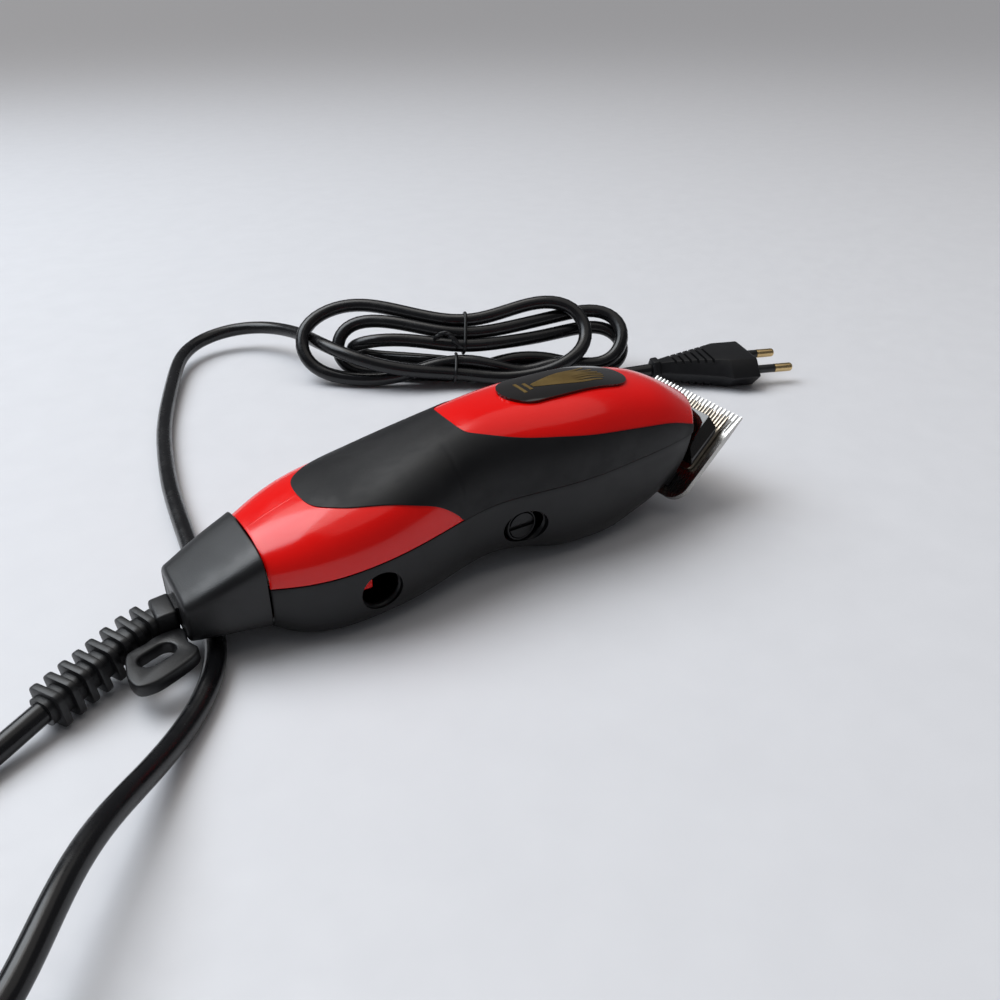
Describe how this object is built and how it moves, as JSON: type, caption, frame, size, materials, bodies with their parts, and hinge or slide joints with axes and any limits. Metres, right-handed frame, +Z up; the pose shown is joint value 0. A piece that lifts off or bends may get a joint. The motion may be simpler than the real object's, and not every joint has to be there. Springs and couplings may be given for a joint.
{
  "type": "hair clipper",
  "caption": "Corded hair clipper: glossy red and black housing with a soft grip, a toothed blade set, a slide switch, a taper lever and a mains lead with a flat plug.",
  "frame": {"origin": "on the table, at the middle of the flat rest near the back of the belly", "axes": "+X along the body towards the blade, +Y to the clipper's own left side, +Z up, away from the surface it lies on"},
  "size_m": [0.4032, 0.3374, 0.0532],
  "materials": {
    "upper_housing": "gloss",
    "lower_housing": "satin",
    "grip_overmould": "matte",
    "end_cap": "fine texture",
    "badge_plate": "gloss",
    "strain_relief": "matte",
    "hanging_tab": "matte",
    "cord_lead": "gloss",
    "cord_hank": "gloss",
    "cord_tail": "gloss",
    "twist_tie": "satin",
    "plug_body": "satin",
    "plug_pin_left": "polished",
    "plug_pin_right": "polished",
    "inner_cord": "gloss",
    "cord_clamp": "satin",
    "stator_core": "laminated",
    "coil_bobbin": "satin",
    "coil_winding": "enamelled copper",
    "motor_screw_1": "zinc",
    "motor_screw_2": "zinc",
    "armature": "laminated",
    "drive_arm": "satin",
    "pivot_pin": "ground",
    "pivot_bracket": "stamped",
    "return_spring": "drawn wire",
    "power_screw": "satin",
    "screw_sleeve": "satin",
    "switch_body": "satin",
    "switch_button": "satin",
    "taper_lever": "satin",
    "taper_cam": "turned",
    "fixed_blade": "ground",
    "moving_blade": "ground",
    "blade_screw_1": "zinc",
    "blade_screw_2": "zinc",
    "blade_seat": "satin",
    "tension_spring": "bright",
    "blade_guide": "gloss",
    "blade_driver": "satin",
    "live_lead": "satin",
    "neutral_lead": "satin",
    "housing_screw_1": "zinc",
    "housing_screw_2": "zinc",
    "housing_screw_3": "zinc"
  },
  "bodies": {
    "housing": {"upper_housing": "upper_housing", "lower_housing": "lower_housing", "grip_overmould": "grip_overmould", "end_cap": "end_cap", "badge_plate": "badge_plate", "strain_relief": "strain_relief", "hanging_tab": "hanging_tab", "cord_lead": "cord_lead", "cord_hank": "cord_hank", "cord_tail": "cord_tail", "twist_tie": "twist_tie", "plug_body": "plug_body", "plug_pin_left": "plug_pin_left", "plug_pin_right": "plug_pin_right", "inner_cord": "inner_cord", "cord_clamp": "cord_clamp", "stator_core": "stator_core", "coil_bobbin": "coil_bobbin", "coil_winding": "coil_winding", "motor_screw_1": "motor_screw_1", "motor_screw_2": "motor_screw_2", "pivot_pin": "pivot_pin", "pivot_bracket": "pivot_bracket", "return_spring": "return_spring", "screw_sleeve": "screw_sleeve", "switch_body": "switch_body", "fixed_blade": "fixed_blade", "blade_screw_1": "blade_screw_1", "blade_screw_2": "blade_screw_2", "blade_seat": "blade_seat", "tension_spring": "tension_spring", "live_lead": "live_lead", "neutral_lead": "neutral_lead", "housing_screw_1": "housing_screw_1", "housing_screw_2": "housing_screw_2", "housing_screw_3": "housing_screw_3"},
    "switch_button": {"switch_button": "switch_button"},
    "taper_lever": {"taper_lever": "taper_lever", "taper_cam": "taper_cam"},
    "guide": {"blade_guide": "blade_guide"},
    "moving_blade": {"moving_blade": "moving_blade", "blade_driver": "blade_driver"},
    "armature": {"armature": "armature", "drive_arm": "drive_arm"},
    "power_screw": {"power_screw": "power_screw"}
  },
  "joints": [
    {"name": "switch_slide", "type": "slide", "parent": "housing", "child": "switch_button", "axis": [1, 0, 0], "range_m": [0, 0.005]},
    {"name": "taper_lever_turn", "type": "hinge", "parent": "housing", "child": "taper_lever", "pos_m": [0.109, 0.0245, 0.017], "axis": [0, 1, 0], "range_deg": [0, 35]},
    {"name": "guide_slide", "type": "slide", "parent": "housing", "child": "guide", "axis": [-0.7071, 0, -0.7071], "range_m": [0, 0.002]},
    {"name": "moving_blade_slide", "type": "slide", "parent": "guide", "child": "moving_blade", "axis": [0, 1, 0], "range_m": [-0.0012, 0.0012]},
    {"name": "armature_swing", "type": "hinge", "parent": "housing", "child": "armature", "pos_m": [0.024, -0.0101, 0.019], "axis": [0, 0, 1], "range_deg": [-0.6, 0.6], "stiffness_Nm_per_rad": 1},
    {"name": "power_screw_turn", "type": "hinge", "parent": "housing", "child": "power_screw", "pos_m": [0.06, -0.018, 0.0164], "axis": [0, -1, 0], "range_deg": [-180, 180]}
  ],
  "couplings": [
    {"joint": "taper_lever_turn", "follows": "guide_slide", "rad_per_m": 305.43},
    {"joint": "moving_blade_slide", "follows": "armature_swing", "m_per_rad": 0.108}
  ]
}
